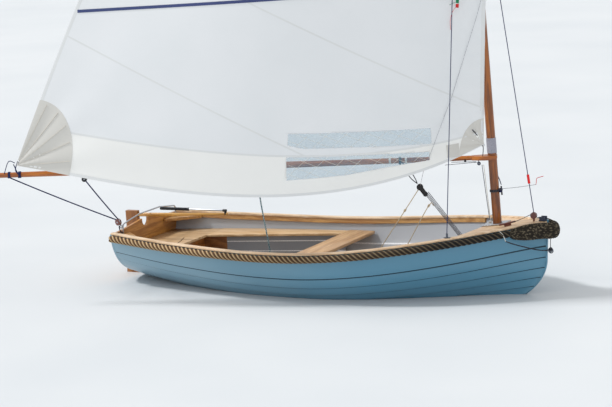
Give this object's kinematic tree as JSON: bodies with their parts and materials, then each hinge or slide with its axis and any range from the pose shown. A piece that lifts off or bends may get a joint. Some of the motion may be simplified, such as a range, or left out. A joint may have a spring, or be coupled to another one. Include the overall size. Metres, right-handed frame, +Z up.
{
  "type": "clinker sailing dinghy with standing lug rig",
  "caption": "Open clinker sailing dinghy with rope fender, standing lug sail, boom, yard, drop rudder and centreboard, afloat.",
  "frame": {"origin": "on the centreline amidships, on the waterline", "axes": "+X to the bow, +Y to port, +Z up"},
  "size_m": [4.0406, 2.1431, 6.1887],
  "materials": {
    "hull_gelcoat": "pale blue gloss, clinker",
    "varnished_wood": "varnished",
    "bleached_wood": "sun-bleached",
    "spar_varnish": "varnished spar",
    "fender_rope": "three-strand rope",
    "bow_rope": "hitched rope pad",
    "steel": "stainless",
    "alloy": "satin",
    "black_plastic": "black",
    "white_plastic": "white",
    "navy_line": "braided line",
    "sailcloth": "translucent woven sailcloth",
    "window_film": "clear film with a scrim"
  },
  "bodies": {
    "hull": {"hull_planking": "hull_gelcoat", "keel_skeg": "varnished_wood", "stem": "varnished_wood", "transom": "varnished_wood", "gunwale_port": "bleached_wood", "gunwale_starboard": "bleached_wood", "inwale_port": "varnished_wood", "inwale_starboard": "varnished_wood", "rope_fender": "fender_rope", "bow_fender": "bow_rope", "foredeck": "bleached_wood", "deck_beam": "varnished_wood", "mast_plate": "white_plastic", "deck_cleat": "black_plastic", "bow_fairlead": "black_plastic", "stem_ring": "steel", "stern_seat": "bleached_wood", "bench_port": "bleached_wood", "bench_starboard": "bleached_wood", "stern_panel": "varnished_wood", "bench_panel_port": "varnished_wood", "bench_panel_starboard": "varnished_wood", "thwart": "bleached_wood", "centreboard_case": "hull_gelcoat", "floorboards": "bleached_wood", "mast_step": "varnished_wood", "quarter_knees": "varnished_wood", "gudgeons": "steel", "sheet_horse": "steel", "chainplates": "steel", "mast": "spar_varnish", "mast_sleeve": "alloy", "mast_cleat": "black_plastic", "masthead_band": "steel", "shroud_port": "navy_line", "shroud_starboard": "navy_line", "forestay": "navy_line", "forestay_block": "varnished_wood"},
    "rudder": {"rudder_stock": "varnished_wood", "pintles": "steel", "tiller": "varnished_wood", "tiller_extension": "alloy"},
    "rudder_blade": {"rudder_blade": "varnished_wood"},
    "centreboard": {"centreboard": "varnished_wood"},
    "rig": {"boom": "spar_varnish", "boom_jaws": "spar_varnish", "yard": "spar_varnish", "yard_ring": "steel", "sail": "sailcloth", "sail_windows": "window_film"}
  },
  "joints": [
    {"name": "rudder_turn", "type": "hinge", "parent": "hull", "child": "rudder", "pos_m": [-1.75, 0, 0.2], "axis": [0, 0, 1], "range_deg": [-40, 40]},
    {"name": "blade_lift", "type": "hinge", "parent": "rudder", "child": "rudder_blade", "pos_m": [-1.81, 0, -0.07], "axis": [0, 1, 0], "range_deg": [0, 95]},
    {"name": "board_lift", "type": "hinge", "parent": "hull", "child": "centreboard", "pos_m": [0.64, 0, -0.02], "axis": [0, 1, 0], "range_deg": [0, 86]},
    {"name": "rig_swing", "type": "hinge", "parent": "hull", "child": "rig", "pos_m": [1.30934, 0, 1.00862], "axis": [-0.0384, 0, 0.9993], "range_deg": [-65, 23]}
  ]
}
